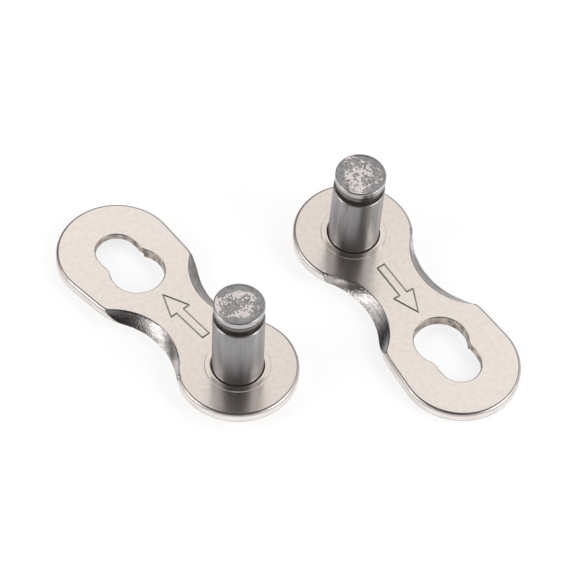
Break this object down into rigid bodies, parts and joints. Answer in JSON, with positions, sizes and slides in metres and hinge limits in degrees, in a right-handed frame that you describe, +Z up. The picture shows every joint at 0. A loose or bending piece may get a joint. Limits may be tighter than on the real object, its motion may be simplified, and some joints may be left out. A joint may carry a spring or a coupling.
{
  "type": "chain connecting link",
  "caption": "Two-piece connecting link for a roller chain, open: waisted plates, each with a riveted pin with a grooved head and a keyhole for the other's pin.",
  "frame": {"origin": "on the ground under the middle of the box round both halves, as they lie at rest", "axes": "+Z up; +X along the row in which the two plates lie side by side, each turned 3.4 degrees from it, so that the keyhole of half b points to +X and that of half a to -X; both pins stand up and lean 1.8 degrees towards their own keyholes"},
  "size_m": [0.0294, 0.0224, 0.0082],
  "materials": {
    "plated_steel": "satin nickel plating",
    "pin_steel": "ground hardened steel"
  },
  "bodies": {
    "root": {"plate_a": "plated_steel", "plate_b": "plated_steel", "pin_a": "pin_steel", "pin_b": "pin_steel"}
  },
  "joints": []
}
